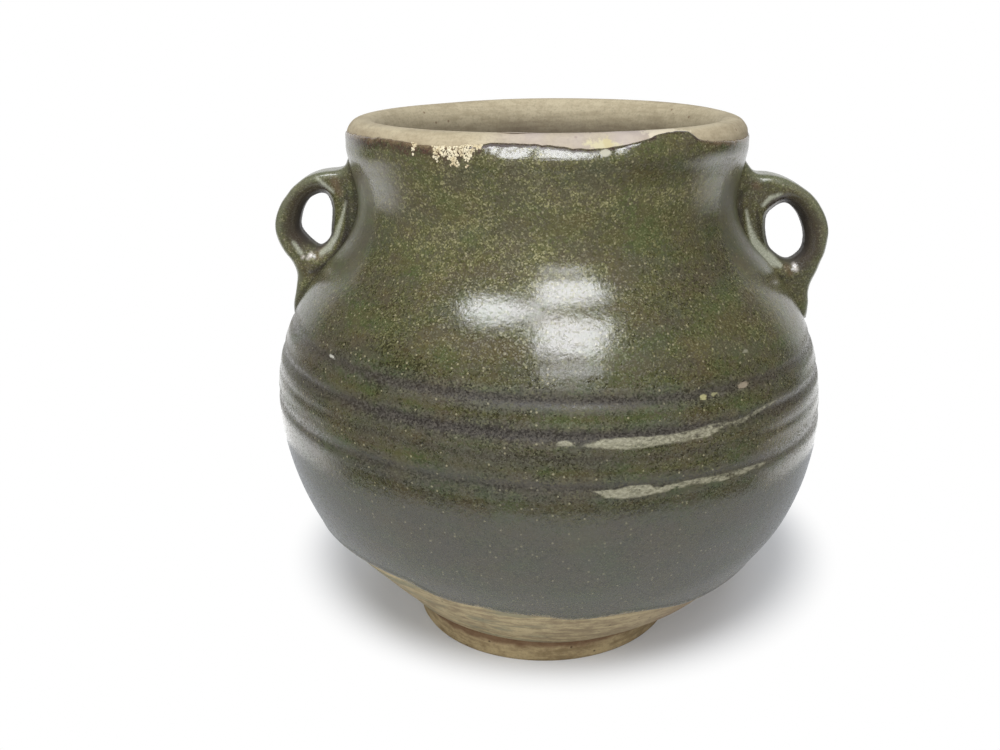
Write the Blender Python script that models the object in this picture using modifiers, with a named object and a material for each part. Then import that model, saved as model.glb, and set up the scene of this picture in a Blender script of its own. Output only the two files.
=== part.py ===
# A wheel-thrown stoneware jar with a turned foot, a rolled lip and two ring ears for a carrying cord.
# Metres, +Z up. The origin is at the centre of the foot's underside, and the ears stand along X.
# Clay pieces that were luted together wet keep a fine seam here, so each is a solid of its own.

import math

import bmesh
import bpy
from mathutils import Matrix, Vector

# Seams, cuts and turning
SEAT_GAP = 0.0003
OVERRUN = 0.010
WELD_GAP = 0.00001
TURNING_STEPS = 44

# Foot ring, turned when leather hard
FOOT_HEIGHT = 0.0060
FOOT_TOP_RADIUS = 0.0372
FOOT_TAPER = 0.0015
FOOT_RING_WIDTH = 0.0062
FOOT_EDGE = 0.0008

# Thrown body, sizes of the bare clay. The shoulder's rise runs on to where its oval would close.
BELLY_RADIUS = 0.0723
BELLY_HEIGHT = 0.0680
SHOULDER_RISE = 0.0565
WALL = 0.0052
FLOOR_THICKNESS = 0.0072
FLOOR_ROUNDNESS = 2.6

# Neck collar and rolled lip, with heights from the seam on the shoulder up
NECK_RADIUS = 0.0484
NECK_HEIGHT = 0.03265
NECK_WAIST_RISE = 0.01165
NECK_ROOT_FLARE = 0.0035
NECK_BLEND = 0.0040
LIP_FLARE = 0.0022
LIP_DROP = 0.0058
LIP_THICKNESS = 0.0082
LIP_CROWN_INSET = 0.0042

# Throwing grooves: height over the widest place, depth and half width of each, lowest first
GROOVES = (
    (0.0009, 0.0009, 0.0021),
    (0.0070, 0.0004, 0.0016),
    (0.0119, 0.0010, 0.0019),
    (0.0192, 0.0009, 0.0018),
)

# Glass coat outside, from its run line above the foot to just under the lip's crown
GLAZE_THICKNESS = 0.0006
GLAZE_EDGE_RISE = 0.0215
GLAZE_EDGE_TILT = 0.0042
GLAZE_EDGE_WAVE = 0.0016
GLAZE_WAVE_COUNT = 3
GLAZE_LIP_DROP = 0.0038

# The thin dark coat inside, up to a line below the lip's crown
INNER_GLAZE_THICKNESS = 0.0005
INNER_GLAZE_DROP = 0.0130

# Ring ears: a thick loop of clay set upright on the neck and shoulder, with its edges rubbed round.
# Heights are from the seam between shoulder and neck, up or down. The stands say how far the tail
# lifts off the shoulder, from the loop's foot down to its tip.
EAR_WIDTH = 0.0120
EAR_EDGE_ROUND = 0.0026
EAR_ROOT_DEPTH = 0.0070
EAR_ROOT_FILLET = 0.0026
EAR_SAG_SHARE = 0.17
TAIL_TIP_WIDTH_SHARE = 0.62
TAIL_STAND_SHARES = (0.90, 0.66, 0.48, 0.34)
EARS = {
    "left_ear": {
        "turn": math.pi,
        "hole_offset": 0.0123,
        "hole_rise": 0.0056,
        "hole_half_width": 0.0045,
        "hole_half_height": 0.0071,
        "band": 0.0064,
        "root_rise": 0.0188,
        "tip_drop": 0.0188,
    },
    "right_ear": {
        "turn": 0.0,
        "hole_offset": 0.0151,
        "hole_rise": 0.0025,
        "hole_half_width": 0.0054,
        "hole_half_height": 0.0077,
        "band": 0.0063,
        "root_rise": 0.0179,
        "tip_drop": 0.0217,
    },
}

# Places that follow from those sizes
SEAM_HEIGHT = BELLY_HEIGHT + SHOULDER_RISE * math.sqrt(
    1 - ((NECK_RADIUS + NECK_ROOT_FLARE) / BELLY_RADIUS) ** 2
)
JAR_HEIGHT = SEAM_HEIGHT + NECK_HEIGHT
LIP_HEIGHT = JAR_HEIGHT - LIP_DROP
LIP_RADIUS = NECK_RADIUS + LIP_FLARE
MOUTH_RADIUS = LIP_RADIUS - LIP_THICKNESS
LIP_CROWN_RADIUS = LIP_RADIUS - LIP_CROWN_INSET
WAIST_HEIGHT = SEAM_HEIGHT + NECK_WAIST_RISE
FLOOR_TOP = FOOT_HEIGHT + SEAT_GAP + FLOOR_THICKNESS
GLAZE_EDGE_HEIGHT = FOOT_HEIGHT + GLAZE_EDGE_RISE


def spread(low, high, count):
    """Evenly spaced values from low to high, both included."""
    return [low + (high - low) * i / (count - 1) for i in range(count)]


def smooth_max(a, b, blend):
    """The larger of two lengths, with the corner between them rounded over the blend."""
    near = max(blend - abs(a - b), 0.0) / blend
    return max(a, b) + near * near * blend / 4


def ease(t):
    t = min(max(t, 0.0), 1.0)
    return t * t * (3 - 2 * t)


def belly_radius_at(z):
    """Two half ovals that meet at the belly. The lower one runs to the foot's top edge."""
    if z < BELLY_HEIGHT:
        rise = (BELLY_HEIGHT - FOOT_HEIGHT) / math.sqrt(1 - (FOOT_TOP_RADIUS / BELLY_RADIUS) ** 2)
    else:
        rise = SHOULDER_RISE
    share = (z - BELLY_HEIGHT) / rise
    return BELLY_RADIUS * math.sqrt(max(1 - share * share, 0.0))


def neck_radius_at(z):
    """The neck draws in to its waist, then opens to the lip."""
    if z < WAIST_HEIGHT:
        share = (WAIST_HEIGHT - z) / NECK_WAIST_RISE
        return NECK_RADIUS + NECK_ROOT_FLARE * min(share, 1.0) ** 2
    return NECK_RADIUS + LIP_FLARE * ease((z - WAIST_HEIGHT) / (LIP_HEIGHT - WAIST_HEIGHT))


def groove_dip(z):
    """How deep the thrower's finger marks go at this height."""
    dip = 0.0
    for rise, depth, half_width in GROOVES:
        share = abs(z - BELLY_HEIGHT - rise) / half_width
        if share < 1:
            dip += depth * (1 + math.cos(math.pi * share)) / 2
    return dip


def plain_radius(z):
    """The clay's outer radius, without its grooves."""
    if z < BELLY_HEIGHT:
        return belly_radius_at(z)
    return smooth_max(belly_radius_at(z), neck_radius_at(z), NECK_BLEND)


def clay_radius(z):
    """The clay's outer radius up to the crown of the lip."""
    if z < LIP_HEIGHT:
        return plain_radius(z) - groove_dip(z)
    share = min((z - LIP_HEIGHT) / LIP_DROP, 1.0)
    return LIP_CROWN_RADIUS + LIP_CROWN_INSET * math.sqrt(1 - share * share)


def cavity_radius(z):
    """The clay's inner radius: a rounded bowl below the belly, and an even wall above it."""
    if z < BELLY_HEIGHT:
        share = min(abs(BELLY_HEIGHT - z) / (BELLY_HEIGHT - FLOOR_TOP), 1.0)
        power = FLOOR_ROUNDNESS
        return (BELLY_RADIUS - WALL) * (1 - share**power) ** (1 / power)
    step = WALL / 8
    slope = (plain_radius(z + step) - plain_radius(z - step)) / (2 * step)
    return plain_radius(z) - WALL * math.hypot(1, slope)


def outer_heights():
    """Heights up the outside, with each groove's two edges and its bottom, to the lip's crown."""
    grooves = [(BELLY_HEIGHT + rise, half_width) for rise, _, half_width in GROOVES]
    lowest = min(height - half_width for height, half_width in grooves)
    highest = max(height + half_width for height, half_width in grooves)
    marks = spread(FOOT_HEIGHT, lowest, 8)
    for height, half_width in grooves:
        marks += [height - half_width, height, height + half_width]
    marks += spread(highest, SEAM_HEIGHT, 6) + spread(SEAM_HEIGHT, LIP_HEIGHT, 7)
    marks += [LIP_HEIGHT + LIP_DROP * math.sin(turn) for turn in spread(0, math.pi / 2, 5)]
    return sorted(marks)


def clay_path(low, high):
    """Points up the clay's outside between two heights, both included."""
    heights = [low]
    for z in outer_heights():
        if z - heights[-1] > SEAT_GAP and high - z > SEAT_GAP:
            heights.append(z)
    heights.append(high)
    return [(clay_radius(z), z) for z in heights]


def cavity_path(high):
    """Points up the inside, from the middle of the floor to a height below the lip."""
    shares = spread(0, 1, 8)
    heights = [FLOOR_TOP + (BELLY_HEIGHT - FLOOR_TOP) * share * share for share in shares]
    heights += spread(BELLY_HEIGHT, SEAM_HEIGHT, 5)[1:]
    heights += spread(SEAM_HEIGHT, LIP_HEIGHT - LIP_DROP, 4)[1:]
    kept = [z for z in heights if high - z > SEAT_GAP] + [high]
    return [(0.0, FLOOR_TOP)] + [(cavity_radius(z), z) for z in kept[1:]]


def lip_inside():
    """The lip's roll from its crown down to the mouth."""
    roll = LIP_CROWN_RADIUS - MOUTH_RADIUS
    return [
        (MOUTH_RADIUS + roll * (1 - math.cos(turn)), LIP_HEIGHT + LIP_DROP * math.sin(turn))
        for turn in spread(math.pi / 2, 0, 5)
    ]


def offset_path(points, distance):
    """The path moved sideways, to its left as it runs, each point along its own normal."""
    moved = []
    for i, (radius, z) in enumerate(points):
        before = points[max(i - 1, 0)]
        after = points[min(i + 1, len(points) - 1)]
        run, rise = after[0] - before[0], after[1] - before[1]
        length = math.hypot(run, rise)
        moved.append((radius - distance * rise / length, z + distance * run / length))
    return moved


def material(name, colour, roughness, metallic):
    made = bpy.data.materials.new(name)
    made.use_nodes = True
    shader = made.node_tree.nodes["Principled BSDF"]
    shader.inputs["Base Color"].default_value = (*colour, 1)
    shader.inputs["Roughness"].default_value = roughness
    shader.inputs["Metallic"].default_value = metallic
    made.diffuse_color = (*colour, 1)
    return made


def add_object(name, data, group):
    made = bpy.data.objects.new(name, data)
    group.objects.link(made)
    return made


def add_cutter(name, data, group):
    made = add_object(name, data, group)
    made.hide_render = True
    made.display_type = "WIRE"
    return made


def frozen_mesh(obj, name):
    """The object's evaluated mesh as plain data, and the object taken out of the scene."""
    graph = bpy.context.evaluated_depsgraph_get()
    mesh = bpy.data.meshes.new_from_object(obj.evaluated_get(graph))
    mesh.name = name
    bpy.data.objects.remove(obj)
    return mesh


def turned(name, section, group, closed):
    """A section at +X turned round Z. It runs down its outer side, from top to bottom."""
    mesh = bpy.data.meshes.new(name)
    edges = [(i, i + 1) for i in range(len(section) - 1)]
    if closed:
        edges.append((len(section) - 1, 0))
    mesh.from_pydata([(radius, 0, z) for radius, z in section], edges, [])
    obj = add_object(name, mesh, group)
    screw = obj.modifiers.new("Turning", "SCREW")
    screw.axis = "Z"
    screw.angle = 2 * math.pi
    screw.steps = TURNING_STEPS
    screw.render_steps = TURNING_STEPS
    screw.use_merge_vertices = True
    screw.merge_threshold = WELD_GAP
    screw.use_smooth_shade = True
    return obj


def cut(obj, cutter):
    boolean = obj.modifiers.new("Cut " + cutter.name, "BOOLEAN")
    boolean.operation = "DIFFERENCE"
    boolean.solver = "EXACT"
    boolean.object = cutter


def jar_body(group):
    """Floor, belly and shoulder, thrown in one and cut off where the collar sits."""
    base = FOOT_HEIGHT + SEAT_GAP
    top = SEAM_HEIGHT - SEAT_GAP
    section = cavity_path(top) + clay_path(base, top)[::-1] + [(0.0, base)]
    return turned("jar_body", section, group, False)


def neck_collar(group):
    """The collar from the seam up, with the rolled lip thrown on it."""
    inside = [point for point in cavity_path(LIP_HEIGHT - LIP_DROP) if point[1] > SEAM_HEIGHT]
    inside.insert(0, (cavity_radius(SEAM_HEIGHT), SEAM_HEIGHT))
    outside = clay_path(SEAM_HEIGHT, JAR_HEIGHT)
    section = inside + lip_inside()[::-1] + outside[:-1][::-1]
    return turned("neck_collar", section, group, True)


def foot_ring(group):
    """A low turned ring, wider at its top, with its edges taken off."""
    outer_under = FOOT_TOP_RADIUS - FOOT_TAPER
    inner_under = outer_under - FOOT_RING_WIDTH
    section = [
        (inner_under - FOOT_EDGE / 2, FOOT_EDGE),
        (inner_under - FOOT_EDGE, FOOT_HEIGHT),
        (FOOT_TOP_RADIUS - FOOT_EDGE / 4, FOOT_HEIGHT),
        (FOOT_TOP_RADIUS, FOOT_HEIGHT - FOOT_EDGE / 2),
        (outer_under + FOOT_EDGE / 4, FOOT_EDGE),
        (outer_under - FOOT_EDGE / 2, 0.0),
        (inner_under + FOOT_EDGE / 2, 0.0),
    ]
    return turned("foot_ring", section, group, True)


def outer_glaze(group):
    """The glass coat, a thin shell that follows the clay and its grooves."""
    low = GLAZE_EDGE_HEIGHT - GLAZE_EDGE_TILT - GLAZE_EDGE_WAVE - WALL
    clay = clay_path(low, JAR_HEIGHT - GLAZE_LIP_DROP)
    inner = offset_path(clay, -SEAT_GAP)
    outer = offset_path(clay, -SEAT_GAP - GLAZE_THICKNESS)
    return turned("outer_glaze", inner + outer[::-1], group, True)


def glaze_edge_cutter(group):
    """Takes away the coat below its run line, which tilts and waves as poured glaze does."""
    bm = bmesh.new()
    floor = -OVERRUN
    reach = BELLY_RADIUS + OVERRUN
    bmesh.ops.create_cone(
        bm,
        cap_ends=True,
        cap_tris=True,
        segments=TURNING_STEPS,
        radius1=reach,
        radius2=reach,
        depth=GLAZE_EDGE_HEIGHT - floor,
    )
    middle = (GLAZE_EDGE_HEIGHT + floor) / 2
    for vert in bm.verts:
        upper = vert.co.z > 0
        vert.co.z += middle
        if upper and vert.co.xy.length > OVERRUN:
            turn = math.atan2(vert.co.y, vert.co.x)
            tilt = GLAZE_EDGE_TILT * math.cos(turn + math.pi / 2 + math.pi / 8)
            vert.co.z += tilt + GLAZE_EDGE_WAVE * math.sin(GLAZE_WAVE_COUNT * turn)
    half_step = Matrix.Rotation(math.pi / TURNING_STEPS, 3, "Z")
    bmesh.ops.rotate(bm, verts=bm.verts, matrix=half_step, cent=(0, 0, 0))
    mesh = bpy.data.meshes.new("glaze_edge_cutter")
    bm.to_mesh(mesh)
    bm.free()
    return add_cutter("glaze_edge_cutter", mesh, group)


def inner_glaze(group):
    """The thin dark coat inside, from under the lip down to the floor."""
    clay = cavity_path(JAR_HEIGHT - INNER_GLAZE_DROP)
    outer = offset_path(clay, SEAT_GAP)
    inner = offset_path(clay, SEAT_GAP + INNER_GLAZE_THICKNESS)
    outer[0] = (0.0, FLOOR_TOP + SEAT_GAP)
    inner[0] = (0.0, FLOOR_TOP + SEAT_GAP + INNER_GLAZE_THICKNESS)
    return turned("inner_glaze", inner + outer[::-1], group, False)


def luting_form(group):
    """The clay's outside as a solid, a seam's width larger: it shapes the roots of the ears."""
    outside = offset_path(clay_path(FOOT_HEIGHT, JAR_HEIGHT - SEAT_GAP), -SEAT_GAP)
    section = [(0.0, JAR_HEIGHT + OVERRUN), (LIP_CROWN_RADIUS, JAR_HEIGHT + OVERRUN)]
    section += outside[::-1] + [(0.0, outside[0][1])]
    mesh = frozen_mesh(turned("luting_form", section, group, False), "luting_form")
    return add_cutter("luting_form", mesh, group)


def ear_oval(ear, band, turn):
    """A point on an oval round the middle of the ear's hole, a band's width outside the hole."""
    across, along = ear["hole_half_width"] + band, ear["hole_half_height"] + band
    centre, middle = NECK_RADIUS + ear["hole_offset"], SEAM_HEIGHT + ear["hole_rise"]
    return centre + across * math.cos(turn), middle + along * math.sin(turn)


def loop_foot(ear):
    """The height where the loop ends and its tail begins."""
    return SEAM_HEIGHT + ear["hole_rise"] - ear["hole_half_height"] - ear["band"]


def ear_outline(ear):
    """Radius and height round the ear: its fillet on the neck, the loop, its tail and its buried root."""
    root = SEAM_HEIGHT + ear["root_rise"]
    tip = SEAM_HEIGHT - ear["tip_drop"]
    fillet = [
        (
            NECK_RADIUS + EAR_ROOT_FILLET * (1 - math.cos(turn)),
            root + EAR_ROOT_FILLET * (1 - math.sin(turn)),
        )
        for turn in spread(0, math.pi / 2, 4)
    ]
    loop = [(NECK_RADIUS + ear["hole_offset"] - ear["hole_half_width"], root)]
    for turn in spread(math.radians(76), math.radians(-44), 10):
        loop.append(ear_oval(ear, ear["band"] * (1 - EAR_SAG_SHARE * math.sin(turn)), turn))
    heights = spread(loop_foot(ear), tip, len(TAIL_STAND_SHARES) + 1)
    tail = [(clay_radius(z) + ear["band"] * share, z) for z, share in zip(heights, TAIL_STAND_SHARES)]
    tail.append((clay_radius(tip), tip))
    buried = [(clay_radius(z) - EAR_ROOT_DEPTH, z) for z in spread(tip, root + EAR_ROOT_FILLET, 5)]
    return fillet + loop + tail + buried


def ear_form(name, ear, group, grow):
    """The ear as a thick flat outline with round edges, grown all over by a length."""
    flat = bpy.data.curves.new(name, "CURVE")
    flat.dimensions = "2D"
    flat.fill_mode = "BOTH"
    flat.extrude = EAR_WIDTH / 2 - EAR_EDGE_ROUND
    flat.bevel_depth = EAR_EDGE_ROUND + grow
    flat.bevel_resolution = 1
    flat.offset = -EAR_EDGE_ROUND
    hole = [ear_oval(ear, 0.0, turn) for turn in spread(0, 2 * math.pi, 17)[:-1]]
    for outline in (ear_outline(ear), hole):
        spline = flat.splines.new("POLY")
        spline.points.add(len(outline) - 1)
        for point, (radius, z) in zip(spline.points, outline):
            point.co = (radius, z, 0, 1)
        spline.use_cyclic_u = True
    mesh = frozen_mesh(add_object(name, flat, group), name)
    bm = bmesh.new()
    bm.from_mesh(mesh)
    bmesh.ops.remove_doubles(bm, verts=bm.verts, dist=WELD_GAP)
    bmesh.ops.rotate(bm, verts=bm.verts, matrix=Matrix.Rotation(math.pi / 2, 3, "X"), cent=(0, 0, 0))
    foot, tip = loop_foot(ear), SEAM_HEIGHT - ear["tip_drop"]
    bmesh.ops.bisect_plane(
        bm,
        geom=[*bm.verts, *bm.edges, *bm.faces],
        dist=WELD_GAP,
        plane_co=Vector((0, 0, foot)),
        plane_no=Vector((0, 0, 1)),
    )
    for vert in bm.verts:
        if vert.co.z < foot:
            vert.co.y *= 1 - (1 - TAIL_TIP_WIDTH_SHARE) * (foot - vert.co.z) / (foot - tip)
    bmesh.ops.recalc_face_normals(bm, faces=bm.faces)
    bm.to_mesh(mesh)
    bm.free()
    return mesh


def ring_ear(name, ear, group, cutters, form):
    """One ear on its own side of the neck with its root shaped to the clay, and its window in the coat."""
    obj = add_object(name, ear_form(name, ear, cutters, 0.0), group)
    obj.rotation_euler.z = ear["turn"]
    cut(obj, form)
    window = add_cutter(name + "_window", ear_form(name + "_window", ear, cutters, SEAT_GAP), cutters)
    window.rotation_euler.z = ear["turn"]
    return obj, window


def settle(obj, finish):
    """Fixes the object's modifiers into its mesh, shades it smooth and gives it its finish."""
    graph = bpy.context.evaluated_depsgraph_get()
    mesh = bpy.data.meshes.new_from_object(obj.evaluated_get(graph))
    mesh.name = obj.name
    obj.modifiers.clear()
    obj.data = mesh
    mesh.shade_smooth()
    mesh.set_sharp_from_angle(angle=math.radians(40))
    mesh.materials.clear()
    mesh.materials.append(finish)


def main():
    for obj in list(bpy.data.objects):
        bpy.data.objects.remove(obj)
    parts = bpy.data.collections.new("two_eared_jar")
    cutters = bpy.data.collections.new("jar_cutters")
    for group in (parts, cutters):
        bpy.context.scene.collection.children.link(group)

    body = jar_body(parts)
    collar = neck_collar(parts)
    foot = foot_ring(parts)
    lining = inner_glaze(parts)
    coat = outer_glaze(parts)
    form = luting_form(cutters)
    cut(coat, glaze_edge_cutter(cutters))
    ears = []
    for name, ear in EARS.items():
        obj, window = ring_ear(name, ear, parts, cutters, form)
        cut(coat, window)
        ears.append(obj)

    settle(body, material("buff_stoneware", (0.46, 0.36, 0.22), 0.82, 0.0))
    settle(collar, material("rim_stoneware", (0.50, 0.41, 0.27), 0.80, 0.0))
    settle(foot, material("foot_stoneware", (0.30, 0.22, 0.13), 0.85, 0.0))
    settle(lining, material("dark_lining", (0.09, 0.055, 0.035), 0.35, 0.0))
    settle(coat, material("olive_glaze", (0.085, 0.085, 0.045), 0.22, 0.0))
    settle(ears[0], material("left_ear_glaze", (0.090, 0.085, 0.050), 0.24, 0.0))
    settle(ears[1], material("right_ear_glaze", (0.095, 0.088, 0.050), 0.24, 0.0))


main()
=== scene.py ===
import math

import bmesh
import bpy
import numpy as np
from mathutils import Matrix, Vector


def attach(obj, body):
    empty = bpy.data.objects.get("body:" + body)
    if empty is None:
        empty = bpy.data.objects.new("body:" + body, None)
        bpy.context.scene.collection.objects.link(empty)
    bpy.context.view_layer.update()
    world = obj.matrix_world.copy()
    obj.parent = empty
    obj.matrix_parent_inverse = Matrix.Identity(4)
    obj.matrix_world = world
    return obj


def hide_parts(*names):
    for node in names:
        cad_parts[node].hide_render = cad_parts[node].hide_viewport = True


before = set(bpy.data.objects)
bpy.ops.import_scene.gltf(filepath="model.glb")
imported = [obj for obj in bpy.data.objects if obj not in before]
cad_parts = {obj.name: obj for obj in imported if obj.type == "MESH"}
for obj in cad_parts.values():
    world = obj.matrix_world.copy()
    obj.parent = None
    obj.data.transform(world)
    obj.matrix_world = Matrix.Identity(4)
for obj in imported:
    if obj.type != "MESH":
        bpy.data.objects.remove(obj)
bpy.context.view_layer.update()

mm = 0.001


# node sums
def summing(operation, swapped=False):
    # a method of Wire for one sum; swapped is for a wire on the right of the sign
    def method(self, other):
        return self.sum(operation, other, self) if swapped else self.sum(operation, self, other)

    return method


class Wire:
    # the output of a node: sums on it add Math nodes, or Vector Math where a vector takes part
    def __init__(self, bench, socket):
        self.bench, self.socket = bench, socket

    def sum(self, operation, *values):
        vector = any(isinstance(v, Wire) and v.socket.type == "VECTOR" for v in values)
        kind = "ShaderNodeVectorMath" if vector else "ShaderNodeMath"
        return self.bench.node(kind, dict(enumerate(values)), {"operation": operation})

    def of(self, operation):
        return self.sum(operation, self)

    __add__, __radd__ = summing("ADD"), summing("ADD", True)
    __sub__, __rsub__ = summing("SUBTRACT"), summing("SUBTRACT", True)
    __mul__, __rmul__ = summing("MULTIPLY"), summing("MULTIPLY", True)
    __truediv__, __rtruediv__ = summing("DIVIDE"), summing("DIVIDE", True)
    __pow__, __lt__, __gt__ = summing("POWER"), summing("LESS_THAN"), summing("GREATER_THAN")
    least, most = summing("MINIMUM"), summing("MAXIMUM")

    def __neg__(self):
        return self * -1

    def __abs__(self):
        return self.of("ABSOLUTE")

    def rise(self, low, high, unit=1):
        # 0 below low and 1 above high, eased between them; low above high gives a fall
        return self.bench.node("ShaderNodeMapRange", {
            "Value": self, "From Min": low * unit, "From Max": high * unit}, {"interpolation_type": "SMOOTHSTEP"})

    def band(self, low, lowFull, highFull, high, unit=1):
        # 1 between the full marks, easing to 0 at the outer ones
        return self.rise(low, lowFull, unit) * self.rise(high, highFull, unit)

    def parts(self):
        made = self.bench.node("ShaderNodeSeparateXYZ", {"Vector": self})
        return [made.other(k) for k in range(3)]

    def other(self, out):
        # another output of the same node
        return Wire(self.bench, self.socket.node.outputs[out])


class Bench:
    # a node tree with one way to add any node; for a finish, also its named tints and its colour so far
    def __init__(self, tree):
        self.tree, self.colour, self.tints = tree, None, {}

    def node(self, kind, values=None, settings=None, out=0):
        made = self.tree.nodes.new(kind)
        for name, value in (settings or {}).items():
            if name == "stops":
                self.setStops(made.color_ramp, value)
            elif name == "points":
                self.setPoints(made.mapping, value)
            else:
                setattr(made, name, value)
        for key, value in (values or {}).items():
            socket = made.inputs[key]
            if isinstance(value, Wire):
                self.tree.links.new(value.socket, socket)
            elif socket.type == "VECTOR" and isinstance(value, (int, float)):
                socket.default_value = (value, value, value)
            elif socket.type == "RGBA" and len(value) == 3:
                socket.default_value = (*value, 1.0)
            else:
                socket.default_value = value
        return Wire(self, made.outputs[out]) if len(made.outputs) else None

    def setStops(self, ramp, stops):
        while len(ramp.elements) > 1:
            ramp.elements.remove(ramp.elements[-1])
        for k, (place, colour) in enumerate(stops):
            stop = ramp.elements[0] if k == 0 else ramp.elements.new(place)
            stop.position = place
            stop.color = (*colour, 1.0)

    def setPoints(self, mapping, points):
        line = mapping.curves[0]
        while len(line.points) < len(points):
            line.points.new(0.5, 0.5)
        for point, (across, up) in zip(line.points, points):
            point.location = (across, up)
        mapping.update()

    def noise(self, place, scale, detail=2, roughness=0.5):
        return self.node("ShaderNodeTexNoise", {
            "Vector": place, "Scale": scale, "Detail": detail, "Roughness": roughness})

    def mix(self, share, first, second):
        # each of the two is a tint's name, a colour or a wire
        first, second = (self.tints.get(tint, tint) for tint in (first, second))
        return self.node("ShaderNodeMix", {0: share, 6: first, 7: second}, {"data_type": "RGBA"}, 2)

    def lay(self, share, tint):
        # a colour over the one so far
        self.colour = self.mix(share, self.colour, tint)

    def curve(self, value, points):
        return self.node("ShaderNodeFloatCurve", {"Value": value}, {"points": points})

    def vector(self, x, y, z):
        return self.node("ShaderNodeCombineXYZ", {0: x, 1: y, 2: z})

    def stored(self, name):
        return self.node("ShaderNodeAttribute", {}, {"attribute_name": name}, "Fac")


def shade(red, green, blue):
    # a colour as seen on screen, 0 to 255, in the linear values that the nodes use
    values = [v / 255 for v in (red, green, blue)]
    return tuple(v / 12.92 if v <= 0.04045 else ((v + 0.055) / 1.055) ** 2.4 for v in values)


def shades(**tints):
    return {name: shade(*tint) for name, tint in tints.items()}


# the thrown shape
jar = {
    "footHeight": 6 * mm, "footRadius": 37.2 * mm, "footTaper": 0.9 * mm, "footWidth": 6.2 * mm,
    "bellyRadius": 72.3 * mm, "bellyHeight": 68 * mm, "shoulderRise": 56.5 * mm,
    "tuckDepth": 1.9 * mm, "tuckHeight": 21 * mm, "tuckReach": 19 * mm,
    "shoulderEnd": 103 * mm, "seamHeight": 107.34 * mm, "neckStart": 120 * mm, "neckRadius": 48.4 * mm,
    "height": 140 * mm, "lipFlare": 2.2 * mm, "lipDrop": 5.8 * mm, "lipThickness": 8.2 * mm,
    "mouthEase": 14 * mm, "crownInset": 4.2 * mm, "crownFullness": 3.5, "wall": 5.2 * mm,
    "floorTop": 13.5 * mm, "floorRoundness": 2.6,
}
jar["lipHeight"] = jar["height"] - jar["lipDrop"]
jar["lipRadius"] = jar["neckRadius"] + jar["lipFlare"]
jar["mouthRadius"] = jar["lipRadius"] - jar["lipThickness"]
jar["crownRadius"] = jar["lipRadius"] - jar["crownInset"]

# finger grooves: height, depth and half width
grooves = [(68.4 * mm, 0.9 * mm, 2.1 * mm), (75 * mm, 0.4 * mm, 1.6 * mm),
           (79.9 * mm, 1 * mm, 1.9 * mm), (86.9 * mm, 0.9 * mm, 1.8 * mm)]
grooveSlope = 0.036  # the grooves lie lower at the right


def bellyRadiusAt(z):
    if z < jar["bellyHeight"]:
        rise = (jar["bellyHeight"] - jar["footHeight"]) / math.sqrt(1 - (jar["footRadius"] / jar["bellyRadius"]) ** 2)
    else:
        rise = jar["shoulderRise"]
    share = (z - jar["bellyHeight"]) / rise
    radius = jar["bellyRadius"] * math.sqrt(max(1 - share * share, 0.0))
    tuck = abs(z - jar["tuckHeight"]) / jar["tuckReach"]
    return radius - jar["tuckDepth"] * (1 + math.cos(math.pi * min(tuck, 1.0))) / 2


def ease(share):
    share = min(max(share, 0.0), 1.0)
    return share * share * (3 - 2 * share)


def shoulderSlope(z):
    step = 0.01 * mm
    return (bellyRadiusAt(z + step) - bellyRadiusAt(z - step)) / (2 * step)


def clayRadius(z):
    # the outside of the clay without its grooves, up to the crown of the lip
    low, high = jar["shoulderEnd"], jar["neckStart"]
    if z < low:
        return bellyRadiusAt(z)
    if z < high:  # one smooth curve from the shoulder into the neck
        span, t = high - low, (z - low) / (high - low)
        radius = (2 * t ** 3 - 3 * t ** 2 + 1) * bellyRadiusAt(low)
        radius += (t ** 3 - 2 * t ** 2 + t) * span * shoulderSlope(low)
        return radius + (3 * t ** 2 - 2 * t ** 3) * jar["neckRadius"]
    if z < jar["lipHeight"]:
        return jar["neckRadius"] + jar["lipFlare"] * ease((z - high) / (jar["lipHeight"] - high))
    share, power = min((z - jar["lipHeight"]) / jar["lipDrop"], 1.0), jar["crownFullness"]
    return jar["crownRadius"] + jar["crownInset"] * (1 - share ** power) ** (1 / power)


def cavityRadius(z):
    if z < jar["bellyHeight"]:
        share = min((jar["bellyHeight"] - z) / (jar["bellyHeight"] - jar["floorTop"]), 1.0)
        power = jar["floorRoundness"]
        return (jar["bellyRadius"] - jar["wall"]) * (1 - share ** power) ** (1 / power)
    step = 0.6 * mm
    slope = (clayRadius(z + step) - clayRadius(z - step)) / (2 * step)
    radius = clayRadius(z) - jar["wall"] * math.hypot(1, slope)
    return jar["mouthRadius"] + (radius - jar["mouthRadius"]) * ease((jar["lipHeight"] - z) / jar["mouthEase"])


def outside(low, high, count=160):
    # points up the outside of the clay; the crown of the lip gets its own even turns
    top = min(high, jar["lipHeight"])
    points = [(clayRadius(z), z) for z in np.linspace(low, top, count)]
    if high > jar["lipHeight"]:
        power = 2 / jar["crownFullness"]
        end = math.asin(min((high - jar["lipHeight"]) / jar["lipDrop"], 1.0) ** (1 / power))
        for turn in np.linspace(0, end, 30)[1:]:
            points.append((jar["crownRadius"] + jar["crownInset"] * max(math.cos(turn), 0.0) ** power,
                           jar["lipHeight"] + jar["lipDrop"] * math.sin(turn) ** power))
    return points


def overCrown():
    # the inner half of the lip's roll, from the crown down to the mouth
    roll = jar["crownRadius"] - jar["mouthRadius"]
    return [(jar["mouthRadius"] + roll * (1 - math.sin(turn)), jar["lipHeight"] + jar["lipDrop"] * math.cos(turn))
            for turn in np.linspace(0, math.pi / 2, 20)]


def inside(low, high, count=90):
    shares = np.linspace(0, 1, count) ** 1.5
    heights = low + (high - low) * shares
    return [(cavityRadius(z), z) for z in heights]


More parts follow.
